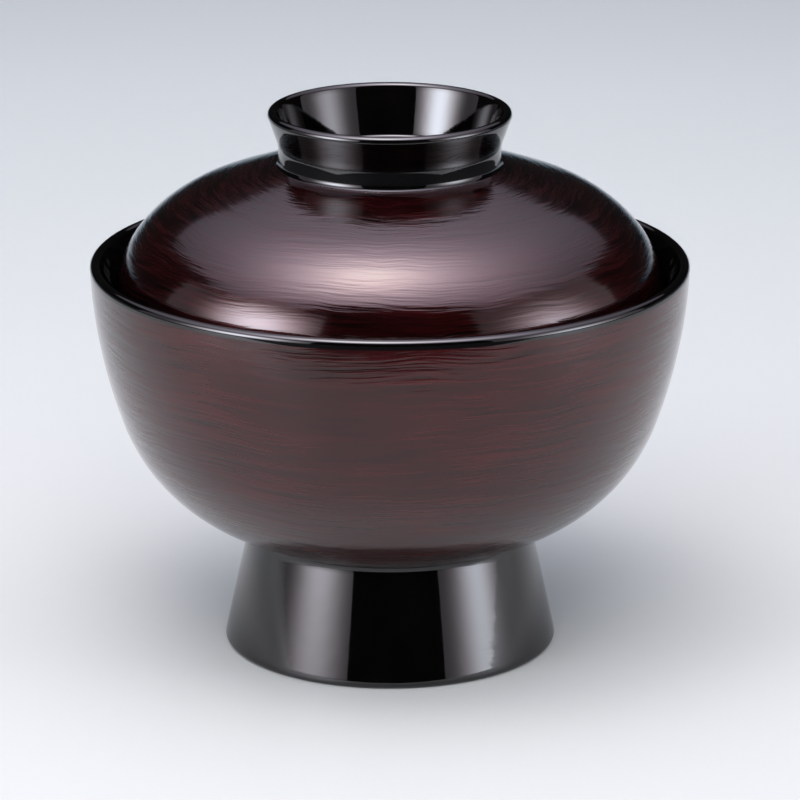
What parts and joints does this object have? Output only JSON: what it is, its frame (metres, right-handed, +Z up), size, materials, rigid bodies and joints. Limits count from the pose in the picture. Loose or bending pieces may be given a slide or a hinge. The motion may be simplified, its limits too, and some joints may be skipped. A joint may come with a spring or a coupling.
{
  "type": "lidded soup bowl",
  "caption": "Round lacquered wooden soup bowl on a flared foot, with a domed lid that sits inside the rim and lifts off by its ring grip.",
  "frame": {"origin": "middle of the foot's standing face, on the surface that the bowl stands on", "axes": "+Z up along the axis of turning; the bowl is the same all round, and the picture looks along +Y"},
  "size_m": [0.12, 0.12, 0.1102],
  "materials": {
    "bowl_core": "bare turned wood under the lacquer",
    "foot_core": "bare turned wood under the lacquer",
    "bowl_outer_coat": "brushed brown-maroon lacquer, polished",
    "bowl_inner_coat": "black lacquer, polished",
    "foot_coat": "black lacquer, polished",
    "lid_core": "bare turned wood under the lacquer",
    "grip_core": "bare turned wood under the lacquer",
    "lid_outer_coat": "brushed brown-maroon lacquer, polished",
    "lid_inner_coat": "black lacquer, polished",
    "grip_coat": "black lacquer, polished"
  },
  "bodies": {
    "bowl": {"bowl_core": "bowl_core", "foot_core": "foot_core", "bowl_outer_coat": "bowl_outer_coat", "bowl_inner_coat": "bowl_inner_coat", "foot_coat": "foot_coat"},
    "lid": {"lid_core": "lid_core", "grip_core": "grip_core", "lid_outer_coat": "lid_outer_coat", "lid_inner_coat": "lid_inner_coat", "grip_coat": "grip_coat"}
  },
  "joints": [
    {"name": "lid_lift", "type": "slide", "parent": "bowl", "child": "lid", "axis": [0, 0, 1], "range_m": [0, 0.08]}
  ]
}
